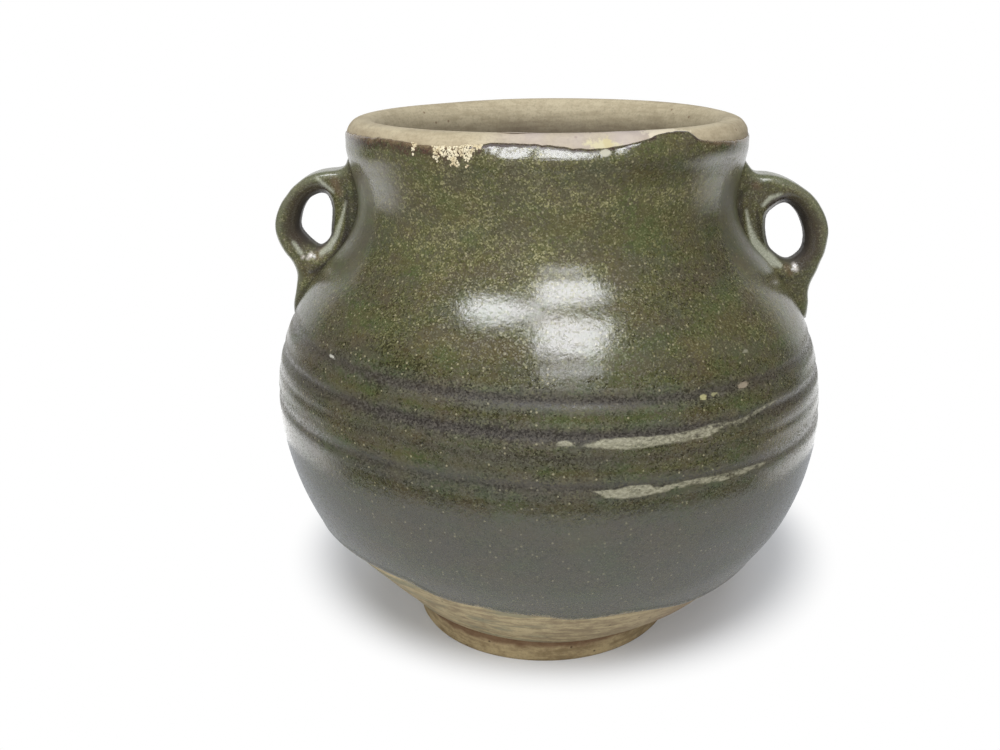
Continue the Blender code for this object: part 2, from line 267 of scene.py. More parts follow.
def alongShares(points):
    # how far along the line each point lies, from 0 to 1, and the whole length
    steps = np.linalg.norm(np.diff(np.array(points), axis=0), axis=1)
    along = np.concatenate([[0], np.cumsum(steps)])
    return along / along[-1], along[-1]


# throwing, as Geometry Nodes: these are inputs of the trees
throwing = {
    "Groove Slope": grooveSlope,
    "Groove Depth": 0.36,  # times the depths above: glaze fills the grooves
    "Ring Depth": 0.008 * mm,  # fine rings left by the fingers
    "Collar Dip": 0.7 * mm,  # the hollow under the lip's roll, at the front right
    "Lip Bulge": 0.5 * mm,  # the bare lip stands out as far as the glaze below it
    "Wobble": 0.4 * mm,
    "Rim Tilt": 0.003,
    "Rim Drop": 0.2 * mm,
    "Front Rise": 0.6 * mm,  # the lip stands this much higher at the front
    "Back Rise": 0.5 * mm,  # and at the back right
    "Lip Flat": 2 * mm,  # the lip is pressed flatter at the front
    "Right Swell": 0.6 * mm,  # the belly is fuller on the right
    "Foot Tilt": 1.1 * mm,  # the foot ring is taller on the left
}
# how far the wet jar leaned to the right, millimetres by height in millimetres
lean = [(0, -0.4), (6, -0.3), (12, 1.2), (20, 2.7), (32, 2.1), (48, 1.4), (65, 1.0), (105, 0.5), (140, 0.4)]


def newTree(name, inputs):
    # a Geometry Nodes tree with these inputs, the bench to build it on, and what reads an input
    tree = bpy.data.node_groups.new(name, "GeometryNodeTree")
    kinds = {int: "NodeSocketInt", float: "NodeSocketFloat", type(None): "NodeSocketMaterial"}
    tree.interface.new_socket("Geometry", in_out="INPUT", socket_type="NodeSocketGeometry")
    for title, value in inputs.items():
        made = tree.interface.new_socket(title, in_out="INPUT", socket_type=kinds[type(value)])
        if value is not None:
            made.default_value = value
    tree.interface.new_socket("Geometry", in_out="OUTPUT", socket_type="NodeSocketGeometry")
    bench = Bench(tree)
    entry = tree.nodes.new("NodeGroupInput")

    def given(title):
        return Wire(bench, entry.outputs[title])

    return tree, bench, given


def closeTree(bench, shape, finish):
    real = bench.node("GeometryNodeRealizeInstances", {"Geometry": shape})
    done = bench.node("GeometryNodeSetMaterial", {"Geometry": real, "Material": finish})
    bench.node("NodeGroupOutput", {0: done})


def setInputs(modifier, values):
    # by the socket's identifier, before the object is first evaluated
    for item in modifier.node_group.interface.items_tree:
        if item.item_type == "SOCKET" and item.in_out == "INPUT" and item.name in values:
            modifier[item.identifier] = values[item.name]


def throwMarks(bench, given, flat, normal, turn):
    # the sampled section point moved by grooves, rings, wobble and lean, and swept round the axis
    radius, height = flat.parts()[::2]
    outward, upward = normal.parts()[::2]
    side, depth, degrees = turn.of("COSINE"), turn.of("SINE"), turn * (180 / math.pi)
    sloped = height + given("Groove Slope") * radius * side
    dip = 0
    for level, grooveDepth, halfWidth in grooves:
        share = (abs(sloped - level) / halfWidth).least(1)
        dip = dip + (share * math.pi).of("COSINE") * (grooveDepth / 2) + grooveDepth / 2
    rings = bench.node("ShaderNodeTexNoise", {"W": sloped * 260, "Scale": 1, "Detail": 2, "Roughness": 0.55},
                       {"noise_dimensions": "1D"})
    frontRight = (side * 0.25 - depth * 0.9).rise(0.3, 0.9)
    hollow = height.band(120, 131, 131, 134.8, mm) * frontRight
    push = outward.rise(0.05, 0.35) * ((rings - 0.5) * given("Ring Depth") * 2 - dip * given("Groove Depth")
                                       - hollow * given("Collar Dip"))
    bulge = height.band(129, 133.5, 137, 139.6, mm) * given("Lip Bulge")
    radius = radius + outward * push + outward.most(0) * bulge
    height = height + upward * push
    around = bench.vector(side, depth, 0)
    wobble = bench.noise(around * 0.05 + bench.vector(0, 0, height * 0.8), 22, 1)
    radius = radius + (wobble - 0.5) * given("Wobble") * (radius / jar["neckRadius"]).least(1)
    # a curve node holds shares from 0 to 1, so the lean goes in as (lean + 1) / 5
    leaning = bench.curve(height / jar["height"], [(h * mm / jar["height"], (shift + 1) / 5) for h, shift in lean])
    swell = side.most(0) ** 2 * outward.rise(0.2, 0.6) * height.band(30, 50, 58, 72, mm)
    radius = radius + swell * given("Right Swell")
    front = degrees.band(-109, -100, -73, -66)
    pressed = front * height.rise(133.8, 138.4, mm) * outward.rise(-0.1, 0.1)
    radius = radius - pressed * (1 + degrees.rise(-93, -98) * 0.45) * given("Lip Flat")
    backRight = (depth * 0.94 + side * 0.34).rise(0.45, 1)
    height = height + height.rise(100, 135, mm) * (
        radius * side * given("Rim Tilt") + (-depth).most(0) * given("Front Rise")
        + backRight * given("Back Rise") - given("Rim Drop"))
    nearFoot = (height / jar["footHeight"]).least(1).most(0) * height.rise(22, 7, mm) * radius.rise(20, 30, mm)
    height = height + nearFoot * (0.45 - side) * given("Foot Tilt")
    return bench.vector(radius * side + (leaning * 5 - 1) * mm, radius * depth, height)


def wheelTree(name, edges=None):
    # turns a section line round the axis; between two wavy edges it makes a poured shell instead
    inputs = {"Rows": 100, "Turns": 200, "Finish": None, **throwing}
    if edges:
        inputs.update({"Section Length": 0.1, **coat["form"]})
    tree, bench, given = newTree(name, inputs)
    line = bench.node("GeometryNodeMeshToCurve", {"Mesh": given("Geometry")})
    grid = bench.node("GeometryNodeMeshGrid", {
        "Size X": 1, "Size Y": 1, "Vertices X": given("Rows"), "Vertices Y": given("Turns")})
    u, v = (part + 0.5 for part in bench.node("GeometryNodeInputPosition").parts()[:2])
    turn = (v * 2 - 1) * math.pi
    factor = u
    if edges:
        around = bench.vector(turn.of("COSINE"), turn.of("SINE"), 0)
        ragged = (bench.noise(around, 22, 4, 0.65) - 0.5) * given("Ragged") / given("Section Length")
        low, high = bench.curve(v, edges["runLine"]), bench.curve(v, edges["lipLine"]) + ragged
        # the first rows run down the outer face, bunched at both edges, and the rest back up the inner one
        outerShare = given("Outer Share")
        outerU = (u / outerShare).least(1)
        bunched = outerU - (outerU * 2 * math.pi).of("SINE") * (given("Bunching") / (2 * math.pi))
        innerU = ((u - outerShare) / (1 - outerShare)).most(0)
        isOuter = innerU < 1e-5
        factor = low + (high - low) * (isOuter * (1 - bunched) + (1 - isOuter) * innerU)
    flat = bench.node("GeometryNodeSampleCurve", {"Curves": line, "Factor": factor}, {"mode": "FACTOR"}, "Position")
    tangentX, tangentZ = flat.other("Tangent").parts()[::2]
    if edges:
        normal = bench.vector(tangentZ, 0, -tangentX)  # the coat's section runs up the outside
        fromLow = (factor - low) * given("Section Length")
        fromHigh = (high - factor) * given("Section Length")
        rounding = 1
        for gap in (fromLow, fromHigh):
            left = 1 - (gap / given("Edge Round")).least(1)
            rounding = (1 - left * left).most(0) ** 0.5 * rounding
        bead = (-((abs(fromLow - given("Bead Place")) / given("Bead Reach")) ** 2)).of("EXPONENT")
        level = flat.parts()[2]
        stand = given("Stand") + given("Bead") * bead - level.rise(129, 134.5, mm) * given("Lip Bulge")
        flat = flat + normal * (isOuter * rounding * (stand + given("Sink")) - given("Sink"))
        for title, gap in (("fromRun", fromLow), ("fromLip", fromHigh)):  # the glaze colours follow its edges
            grid = bench.node("GeometryNodeStoreNamedAttribute", {"Geometry": grid, "Name": title, "Value": gap})
    else:
        normal = bench.vector(-tangentZ, 0, tangentX)  # other sections run down the outside
    place = throwMarks(bench, given, flat, normal, turn)
    moved = bench.node("GeometryNodeSetPosition", {"Geometry": grid, "Position": place})
    welded = bench.node("GeometryNodeMergeByDistance", {"Geometry": moved, "Distance": 0.004 * mm})
    smooth = bench.node("GeometryNodeSetShadeSmooth", {"Geometry": welded})
    closeTree(bench, smooth, given("Finish"))
    return tree


def newObject(name, data):
    made = bpy.data.objects.new(name, data)
    bpy.context.scene.collection.objects.link(made)
    return made


def evaluated(obj):
    # the mesh that the object shows, as plain data
    graph = bpy.context.evaluated_depsgraph_get()
    mesh = bpy.data.meshes.new_from_object(obj.evaluated_get(graph))
    mesh.name = obj.name
    return mesh


def freeze(obj):
    mesh = evaluated(obj)
    obj.modifiers.clear()
    obj.data = mesh


def faceOutwards(mesh):
    bm = bmesh.new()
    bm.from_mesh(mesh)
    bmesh.ops.dissolve_degenerate(bm, edges=bm.edges, dist=0.002 * mm)
    bmesh.ops.recalc_face_normals(bm, faces=bm.faces)
    if bm.calc_volume(signed=True) < 0:
        bmesh.ops.reverse_faces(bm, faces=bm.faces)
    bm.to_mesh(mesh)
    bm.free()


def seat(piece, slot, *nodes):
    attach(piece, "root")
    if nodes:
        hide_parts(*nodes)
    print(piece.name, len(piece.data.vertices), "points")


def turned(name, points, tree, values, slot, node):
    # a piece turned on the wheel from a section line of (radius, height) points
    line = bpy.data.meshes.new(name)
    line.from_pydata([(radius, 0, z) for radius, z in points], [(k, k + 1) for k in range(len(points) - 1)], [])
    made = newObject(name, line)
    wheel = made.modifiers.new(tree.name, "NODES")
    wheel.node_group = tree
    setInputs(wheel, values)
    freeze(made)
    faceOutwards(made.data)
    seat(made, slot, node)
    return made


# finishes
def emptyBench(owner):
    # a bench on the cleared nodes of a material or world
    owner.use_nodes = True
    owner.node_tree.nodes.clear()
    return Bench(owner.node_tree)


def newFinish(name, form, paint, *choices):
    # paint lays the colours, and gives the roughness, the bump from 0 to 1 and the height that 1 stands for
    made = bpy.data.materials.new(name)
    bench = emptyBench(made)
    bench.tints = form["tints"]
    roughness, bump, height = paint(bench, bench.node("ShaderNodeTexCoord", out="Object"), *choices)
    normal = bench.node("ShaderNodeBump", {"Strength": 1, "Distance": height, "Height": bump})
    shader = bench.node("ShaderNodeBsdfPrincipled", {
        "Base Color": bench.colour, "Roughness": roughness, "IOR": form["ior"], "Specular IOR Level": form["gloss"],
        "Normal": normal})
    bench.node("ShaderNodeOutputMaterial", {"Surface": shader})
    return made


def cells(bench, place, size):
    # two random numbers for each crystal, and how far the point is from its middle
    found = bench.node("ShaderNodeTexVoronoi", {"Vector": place, "Scale": 1 / size}, out="Distance")
    chance = bench.node("ShaderNodeSeparateColor", {"Color": found.other("Color")})
    return chance, chance.other(1), found


def specks(bench, place, size, radius, keep):
    # round grains, one in some cells: radius is a share of the cell, keep the share of cells that have one
    chance, distance = cells(bench, place, size)[::2]
    return distance.rise(radius, radius * 0.6) * (chance < keep)


def turnOf(x, y):
    # degrees round the axis, -90 at the front
    return y.sum("ARCTAN2", y, x) * (180 / math.pi)


def jarPlace(place):
    x, y, z = place.parts()
    return x, y, z, turnOf(x, y), z + x * grooveSlope


def lineShares(points, low, high, left, right):
    return [((across - left) / (right - left), (up - low) / (high - low)) for across, up in points]


# the poured coat
coat = {
    "rows": 290, "turns": 330, "lowest": 22 * mm,
    # inputs of its tree: the share of rows on the outer face, how far that stands off the clay and the rest
    # sinks in, the rounding of its edges, the bead along the run, and how far the upper edge wanders
    "form": {"Outer Share": 0.8, "Bunching": 0.35, "Stand": 0.9 * mm, "Sink": 0.15 * mm, "Edge Round": 0.8 * mm,
             "Bead": 0.25 * mm, "Bead Place": 1.2 * mm, "Bead Reach": 0.9 * mm, "Ragged": 1.4 * mm},
    # the run line above the foot and the upper edge on the lip: turn in degrees, height in millimetres
    "runLine": [(-180, 34), (-150, 36.5), (-135, 36.4), (-123, 35.6), (-113.8, 32), (-105, 31.5), (-99.8, 30.4),
        (-92.8, 29.8), (-86.7, 28.1), (-72.5, 28.7), (-53.4, 25.2), (-45.8, 25.2), (-20, 27), (10, 31), (45, 29),
        (80, 33), (120, 30), (150, 31.5), (180, 34)],
    "lipLine": [(-180, 136.6), (-159, 137.4), (-140, 137.9), (-131, 137.8), (-120, 137.3), (-114, 137.2),
        (-106, 138), (-98, 138.1), (-90, 137.8), (-79, 137), (-71, 137.5), (-67, 138.2), (-62, 139.2),
        (-55, 139.7), (-50, 139.4), (-49, 138.4), (-46, 137.5), (-37, 136.8), (-22, 136.1), (20, 136.8),
        (60, 137), (100, 137.6), (140, 137), (180, 136.6)],
}

glaze = {
    "crystal": 0.34 * mm, "cluster": 0.8 * mm, "ior": 1.7, "roughness": 0.11, "gloss": 0.62,
    # colours of the crystals, from the darkest tone to the palest
    "crystals": [(0, shade(48, 46, 28)), (0.3, shade(76, 75, 46)), (0.5, shade(94, 93, 60)),
        (0.7, shade(114, 112, 76)), (1, shade(168, 162, 116))],
    "tints": shades(
        moss=(80, 94, 56), rust=(100, 84, 60), plum=(84, 78, 70), slate=(56, 54, 42), groove=(46, 39, 34),
        grooveGrain=(76, 69, 60), fleck=(178, 170, 136), pit=(40, 34, 26), lipEdge=(66, 50, 46),
        lipRust=(98, 70, 58), cream=(174, 170, 144), creamDark=(128, 124, 100), thin=(160, 146, 112),
        thinLip=(128, 110, 84), earRim=(124, 127, 106), earInner=(70, 61, 54), rustMark=(122, 94, 72),
        paleMark=(186, 188, 168), darkMark=(52, 46, 42), chipMark=(216, 208, 198)),
    # stained grooves: height, half width and strength
    "stains": [(68.6 * mm, 1.2 * mm, 0.55), (75 * mm, 0.9 * mm, 0.4), (79.9 * mm, 1.5 * mm, 0.95),
        (86.9 * mm, 1.2 * mm, 0.85)],
    # worn ridges where the glaze is thin: upper and lower edge, x and sloped height in millimetres, drawn
    # in a window with these limits: left, right, low and high
    "wearWindow": (-10, 62, 60, 90),
    "wear": [
        {"upper": [(-10, 76), (1, 77.5), (3.1, 79.1), (4.8, 79.1), (7, 78), (8.6, 78.5), (11.6, 79.3),
             (15.9, 79.6), (24.8, 79.5), (31.6, 79.7), (36.9, 80.3), (43.9, 80), (49.3, 81.2), (56.5, 81.6),
             (62, 80.5)],
         "lower": [(-10, 79), (1, 78.5), (3.5, 77.9), (6.5, 77.9), (8.6, 77.8), (11.6, 77.4), (20.3, 77),
             (27.5, 77.5), (35.9, 77.7), (40.3, 78.9), (43.9, 78.9), (49.3, 80.1), (56.5, 81.2), (62, 81.5)]},
        {"upper": [(-10, 66), (8, 66.8), (10.2, 68), (14.3, 68.2), (19.6, 68.9), (22.3, 68.8), (24.1, 68),
             (28.7, 68.3), (34.4, 68.6), (39.3, 68.3), (49.9, 68.1), (56, 67), (62, 66)],
         "lower": [(-10, 69), (8, 68), (10.2, 67.7), (11.8, 66.9), (13.5, 66.1), (22.4, 66.1), (25.1, 66.5),
             (32.1, 67), (39.5, 66.6), (49.9, 67), (56, 67.4), (62, 68)]},
    ],
    # small chips: x and sloped height in millimetres, radius, colour
    "chips": [(-49.8, 87.5, 0.8, shade(206, 204, 190)), (-19.3, 78, 0.8, shade(150, 146, 118)),
        (34.8, 86.1, 0.8, shade(176, 170, 118)), (37.5, 86.4, 0.8, shade(150, 146, 104)),
        (44.6, 86.8, 1.5, shade(160, 146, 124)), (45.8, 93.4, 0.7, shade(140, 136, 114)),
        (12.9, 137, 1.5, shade(190, 186, 164))],
}


def tonedCrystals(bench, place, spread, lift):
    # a mosaic of fine crystals in two sizes, with broad clouds of paler and darker ones
    first, hue = cells(bench, place, glaze["crystal"])[:2]
    second, secondHue = cells(bench, place + (0.013, 0.007, 0.003), glaze["cluster"])[:2]
    clouds = bench.noise(place * (1, 1, 1.5), 70, 5, 0.62)
    # lift brings in the painted light and shade of the jar's bands as well as their tone
    tone = 0.5 + ((first - 0.5) * 0.6 + (second - 0.5) * 0.08 + (clouds - 0.5) * 0.34) * spread + lift
    bench.colour = bench.node("ShaderNodeValToRGB", {"Fac": tone}, {"stops": glaze["crystals"]})
    return first, second, hue * 0.5 + secondHue * 0.5


def glazeBandsAndPaintedLight(x, z, turn, sloped):
    # how much the jar's lower half and shoulder take part, and where the crystals are paler or darker, with painted
    # light and shade among them
    lower = sloped.rise(71, 57, mm)
    shoulder = z.band(86, 98, 104, 120, mm)
    belt = sloped.band(60, 67, 88, 96, mm)
    left = x.rise(0, -40, mm)
    # painted light on the front of the neck, with painted shade towards its sides
    lift = z.rise(100, 112, mm) * (x.rise(22, -8, mm) * 0.1 - abs(x).rise(28, 44, mm) * 0.1)
    lift = lift - shoulder * (left * 0.12 + x.band(5, 25, 38, 52, mm) * 0.08 + 0.05)
    # painted shade over the lower half, a little less towards its sides, and paler again near the foot
    lift = lift - lower * (0.3 - abs(x).rise(25, 50, mm) * 0.08) + sloped.rise(52, 42, mm) * 0.06
    lift = lift - belt * (left * 0.1 + 0.24)
    # a painted reflection in a paler band in the hollow of the collar, and a darker band above it, towards the right
    lift = lift + z.band(122, 125, 127, 130, mm) * turn.rise(-105, -80) * 0.1
    lift = lift - z.band(128, 131, 133, 136, mm) * turn.rise(-80, -60) * 0.12
    return lower, shoulder, lift


def stainGrooves(bench, x, sloped, ragged, first):
    # dark grains in the grooves, where the glaze is rough too
    stain = flank = 0
    for level, halfWidth, strength in glaze["stains"]:
        stain = (abs(sloped + ragged - level).rise(halfWidth * 1.5, halfWidth * 0.2) * strength).most(stain)
    stain = stain * (1 - x.rise(15, 55, mm) * 0.3) * (1 - x.rise(-35, -64, mm) * 0.5)
    bench.lay(stain * 0.95, bench.mix(first.rise(0.1, 0.9), "groove", "grooveGrain"))
    for level, depth, halfWidth in grooves:
        near = abs(sloped + ragged * 0.3 - level).rise(halfWidth * 1.9, halfWidth * 0.9)
        flank = (near * (depth / (0.9 * mm))).most(flank)
    return flank * (1 - abs(x).rise(30, 56, mm) * 0.45)  # smooth again towards the ears


def glazeEdges(bench, turn, ragged, first, second, hue):
    # dark mottled glaze under the lip, thin at its very edge
    fromLip, fromRun = bench.stored("fromLip"), bench.stored("fromRun")
    leftShare = turn.band(-170, -150, -112, -96)
    reach = 1.2 + leftShare * 2.6
    edge = (fromLip + ragged * 1.2).rise(reach, reach * 0.3, mm)
    bench.lay(edge * (0.35 + second * 0.6), "lipEdge")
    bench.lay(edge * leftShare * (hue > 0.66) * 0.6, "lipRust")
    # beside the pressed front the glaze thins out over the lip; at the front a dark line runs along it
    fade = (fromLip + ragged * 1.4).rise(1.5, 0.1, mm) * (1 - turn.band(-112, -106, -50, -44))
    bench.lay(fade * (0.5 + first * 0.5), "thinLip")
    pressed = turn.band(-112, -106, -78, -72) * (1 - turn.rise(-100, -92) * 0.55)
    line = abs(fromLip + ragged * 0.25 - 0.7 * mm).rise(0.3, 0.12, mm) * pressed
    bench.lay(line * 0.85, "lipEdge")
    bench.lay((fromRun + ragged * 1.5).rise(1.9, 0.1, mm) * (0.6 + first * 0.4), "thin")
    return line


def wearGlaze(bench, place, x, y, sloped):
    # worn ridges and small chips on the front
    left, right, low, high = glaze["wearWindow"]
    grit = bench.noise(place * (1, 1, 2.2), 340, 5, 0.75)
    fine = bench.noise(place * (1, 1, 2), 1100, 3, 0.6)
    front, across, level = y < 0, x / mm, sloped / mm
    ragged, worn = level + (grit - 0.5) * 1.3, 0
    for ridge in glaze["wear"]:
        upper, under = (bench.curve((across - left) / (right - left), lineShares(ridge[edge], low, high, left, right))
                        * (high - low) + low for edge in ("upper", "lower"))
        worn = ((upper - ragged).rise(-0.1, 0.4) * (ragged - under).rise(-0.1, 0.5)).most(worn)
    worn = worn * front * (grit + fine * 0.3 + (26 * mm - x) * 4).rise(0.42, 0.66)
    bench.lay(worn * 0.85, bench.mix(fine.rise(0.3, 0.7), "creamDark", "cream"))
    for chipX, chipLevel, radius, tint in glaze["chips"]:
        away = ((across - chipX) ** 2 + (level - chipLevel) ** 2 * 3) ** 0.5
        chip = (away + (grit - 0.5) * 3).rise(radius, radius * 0.5) * front
        bench.lay(chip * 0.85, tint)
        worn = worn.most(chip)
    return worn


def markEars(bench, place, x, z, first):
    # painted sheen along the rim, painted shade brown inside the hole, and dark at the root from pooled glaze and
    # painted shade, with the marks drawn on each ear
    ragged = (bench.noise(place, 420, 3, 0.6) - 0.5) * (1.6 * mm)
    holeGap = bench.stored("holeGap")
    farSide = (abs(x) + (z - 112 * mm) * 0.55).rise(58.5, 62.5, mm)
    # painted sheen along the outer rim
    bench.lay((bench.stored("rimGap") + ragged).rise(2.6, 0.4, mm) * 0.5, "earRim")
    # painted shade on the inner wall of the hole, on its far side
    bench.lay((holeGap + ragged).rise(4.4, 1.6, mm) * farSide * 0.85, "earInner")
    bench.lay((holeGap + ragged * 0.5).rise(1.2, 0.3, mm) * 0.6, "groove")
    # dark at the root: partly pooled glaze, partly painted shade in the crease
    bench.lay((bench.stored("rootGap") + ragged).rise(1.3, 0.2, mm) * 0.45, "groove")
    # the pale marks are painted highlights; the dark ones are pooled glaze with painted shade along the creases and
    # beside the hole
    for mark, strength in (("rustMark", 0.45), ("paleMark", 0.85), ("darkMark", 0.7), ("chipMark", 0.8)):
        bench.lay((bench.stored(mark) * (0.75 + first * 0.5)).least(1) * strength, mark)
    return holeGap.rise(1.4, 0.4, mm)


def oliveGlaze(bench, place, onJar):
    x, y, z, turn, sloped = jarPlace(place)
    # the bands carry painted light and shade as well as tone
    lower, shoulder, lift = glazeBandsAndPaintedLight(x, z, turn, sloped) if onJar else (0, 0, 0)
    first, second, hue = tonedCrystals(bench, place, 1 + shoulder * 0.15, lift)
    # mottling: mossy, rusty and plum patches, each made of crystals of that hue
    for shift, tint, scale, strength in ((0, "moss", 75, 0.5), (0.3, "rust", 100, 0.38), (0.7, "plum", 85, 0.45)):
        patch = bench.noise(place * (1, 1, 1.7) + (shift, 0.1, 0.2), scale, 4, 0.62)
        bench.lay((patch - 0.44 + (hue - 0.5) * 0.35).rise(0, 0.16) * strength, tint)
    rough = glaze["roughness"] + first * 0.06 + (first > 0.8) * 0.14  # the palest crystals break the gloss
    flecks = specks(bench, place + (0.01, 0.02, 0.03), 1.15 * mm, 0.27, 0.16 + shoulder * 0.16 if onJar else 0.2)
    flank = 0
    if onJar:
        ragged = (bench.noise(place, 460, 4, 0.7) - 0.5) * (3 * mm)
        # painted shade and painted reflection of the floor: the lower half greyer and darker
        bench.lay(lower * 0.55, "slate")
        bench.lay(flecks * (0.55 - lower * 0.25), "fleck")
        flank = stainGrooves(bench, x, sloped, ragged, first)
        line = glazeEdges(bench, turn, ragged, first, second, hue)
        worn = wearGlaze(bench, place, x, y, sloped)
        beside = (abs(x) - abs(y) * 1.5 + ragged * 0.6).rise(-1, 2.4, mm)  # matt bloom beside the ears
        bloom = beside * z.band(98, 107, 126, 131, mm)
        rough = rough + (worn * 0.4).most(flank.least(1) * (0.2 + first * 0.35)).most(bloom * 0.22).most(line * 0.5)
    else:
        bench.lay(flecks * 0.5, "fleck")
        rough = rough + 0.06 + markEars(bench, place, x, z, first) * 0.3
    pits = specks(bench, place + (0.05, 0.01, 0.02), 1.5 * mm, 0.14, 0.1)
    bench.lay(pits * 0.6, "pit")
    peel = bench.noise(place, 520, 4, 0.62)  # the faint waves of a fired glaze
    return rough, first * (flank * 3.4 + 0.5) - pits + peel * 4.4, 0.018 * mm


clay = {
    "ior": 1.45, "gloss": 0.5,
    "tints": shades(
        foot=(188, 171, 132), footStreak=(134, 116, 88), footPink=(146, 122, 104), footRust=(128, 88, 56),
        footSmear=(124, 126, 104), lip=(195, 183, 153), lipStreak=(172, 159, 130), lipPink=(180, 168, 163),
        lipSpot=(120, 92, 66), ring=(188, 168, 128), ringStreak=(138, 118, 84), ringRust=(108, 74, 52),
        speck=(52, 40, 32), plum=(92, 76, 66), crust=(230, 220, 190), crustDark=(192, 174, 134)),
    # pale lumps on the lip: turn, half width in degrees, height, colour
    "lumps": [(-57, 5.5, 139.9, shade(222, 212, 186)), (-75, 4, 137.9, shade(206, 198, 160)),
        (-74, 1.6, 138.2, shade(196, 184, 142))],
}


def clayBase(bench, place, main, streak, spot):
    # bare clay drawn round on the wheel: fine rings, grit and a few dark spots
    rings = bench.noise(place * (1, 1, 9), 95, 5, 0.62)
    cloud = bench.noise(place, 55, 3, 0.55)
    grit = bench.noise(place, 1700, 2, 0.6)
    patch = bench.noise(place * (1, 1, 1.6) + (0.3, 0.1, 0), 330, 5, 0.7)
    bench.colour = bench.mix((rings * 0.4 + cloud * 0.2 + patch * 0.4).rise(0.42, 0.59) * 0.9, main, streak)
    bench.lay(grit.rise(0.45, 0.75) * 0.4, tuple(c * 0.5 for c in bench.tints[main]))
    bench.lay(specks(bench, place, 3.2 * mm, 0.14, 0.3) * 0.7, spot)
    return rings, grit


def footClay(bench, place):
    rings, grit = clayBase(bench, place, "foot", "footStreak", "speck")
    z, turn = jarPlace(place - (2.2 * mm, 0, 0))[2:4]  # round the foot's own axis, as the jar leaned
    bench.lay(turn.band(-80, -45, 0, 40) * 0.45, "footPink")
    runLine = bench.curve((turn + 180) / 360, lineShares(coat["runLine"], 0, 50, -180, 180)) * (50 * mm)
    under = runLine - z + (grit - 0.5) * (1.2 * mm)
    bench.lay(under.rise(1.7, 0.2, mm) * (0.45 + turn.rise(-95, -125) * 0.45), "footRust")
    foot = bench.noise(place, 300, 3, 0.6) * (2.6 * mm) + z
    bench.lay(foot.rise(8.8, 7.6, mm) * 0.5, "footRust")
    smear = bench.noise(place * (1, 1, 4) + (0.2, 0, 0.1), 70, 3).rise(0.48, 0.6) * turn.rise(-88, -100)
    bench.lay(smear * 0.6, "footSmear")
    return 0.6 + grit * 0.2, (grit + rings) * 0.5, 0.1 * mm


def ringClay(bench, place):
    rings, grit = clayBase(bench, place, "ring", "ringStreak", "speck")
    ragged = (bench.noise(place, 160, 3, 0.6) - 0.5) * (3 * mm)
    bench.lay((place.parts()[2] + ragged).rise(4.2, 5.8, mm) * 0.75, "ringRust")
    return 0.65 + grit * 0.2, (grit + rings) * 0.5, 0.12 * mm


def lipClay(bench, place):
    x, y, z, turn = jarPlace(place)[:4]
    rings, grit = clayBase(bench, place, "lip", "lipStreak", "lipSpot")
    pink = bench.noise(place, 40, 3).rise(0.4, 0.6) * turn.band(-110, -92, -66, -50)
    bench.lay(pink * 0.8, "lipPink")
    radius = (x * x + y * y) ** 0.5
    # the clay turns plum brown down the inside, towards the edge of the lining: partly the lining's colour, partly
    # painted shade deeper in the mouth
    ragged = (bench.noise(place * (1, 1, 0.6), 120, 4, 0.6) - 0.5) * (6 * mm)
    bench.lay(radius.rise(47, 44.5, mm) * (z + ragged).rise(137, 128, mm) * 0.68, "plum")
    # the worn outer edge beside the glaze, and pale lumps on and beside the tongue of glaze
    mottle = bench.noise(place, 380, 4, 0.7)
    besidePress = 1 - turn.band(-112, -106, -68, -60)
    worn = (radius + (mottle - 0.5) * (3 * mm)).rise(48.4, 50.4, mm) * besidePress
    bench.lay(worn * 0.18, "lipSpot")
    rough = (grit - 0.5) * 0.7 + (mottle - 0.5) * 3.2
    for lumpTurn, reach, level, tint in clay["lumps"]:
        away = (((turn - lumpTurn) / reach) ** 2 + ((z / mm - level) / 1.5) ** 2) ** 0.5 + rough
        bench.lay(away.rise(1.2, 0.6) * 0.85, tint)
    return 0.6 + grit * 0.2, (grit + rings) * 0.5, 0.08 * mm


def crustClay(bench, place):
    lumps = bench.noise(place, 1500, 3, 0.6)
    stained = bench.noise(place + (0.1, 0, 0.2), 420, 3, 0.6)
    bench.colour = bench.mix(stained.rise(0.42, 0.62) * 0.7, "crust", "crustDark")
    bench.lay(lumps.rise(0.5, 0.7) * 0.5, "lipSpot")
    return 0.75 + lumps * 0.15, lumps, 0.15 * mm


lining = {
    "drop": 13 * mm, "thickness": 0.5 * mm, "overlap": 0.1 * mm, "ior": 1.5, "gloss": 0.5,
    "tints": shades(brown=(110, 90, 80), buff=(138, 116, 92), dark=(84, 68, 60), thin=(134, 118, 98)),
}


def darkLining(bench, place):
    grain = bench.noise(place, 900, 3, 0.6)
    broad = bench.noise(place, 70, 3, 0.6)
    bench.colour = bench.mix(broad.rise(0.4, 0.65), "brown", "buff")
    bench.lay((grain - 0.5) * 0.8 + 0.2, "dark")
    level = place.parts()[2] + (broad - 0.5) * (8 * mm)
    fade = level.rise(115, 126, mm)  # thins out into the clay at its upper edge
    bench.lay(fade * 0.95, "thin")
    return 0.3 + grain * 0.15 + fade * 0.25, grain, 0.03 * mm


finishes = {
    "glaze": newFinish("oliveTeaDustGlaze", glaze, oliveGlaze, True),
    "ear": newFinish("earTeaDustGlaze", glaze, oliveGlaze, False),
    "foot": newFinish("buffClay", clay, footClay),
    "lip": newFinish("lipClay", clay, lipClay),
    "ring": newFinish("footRingClay", clay, ringClay),
    "lining": newFinish("darkLining", lining, darkLining),
    "crust": newFinish("crustClay", clay, crustClay),
}
print("finishes:", ", ".join(sorted(finishes)))


# body, collar and foot ring
wheel = wheelTree("turnOnWheel")


def throwPiece(name, points, rows, turns, finish, slot, node):
    values = {**throwing, "Rows": rows, "Turns": turns, "Finish": finishes[finish]}
    return turned(name, points, wheel, values, slot, node)


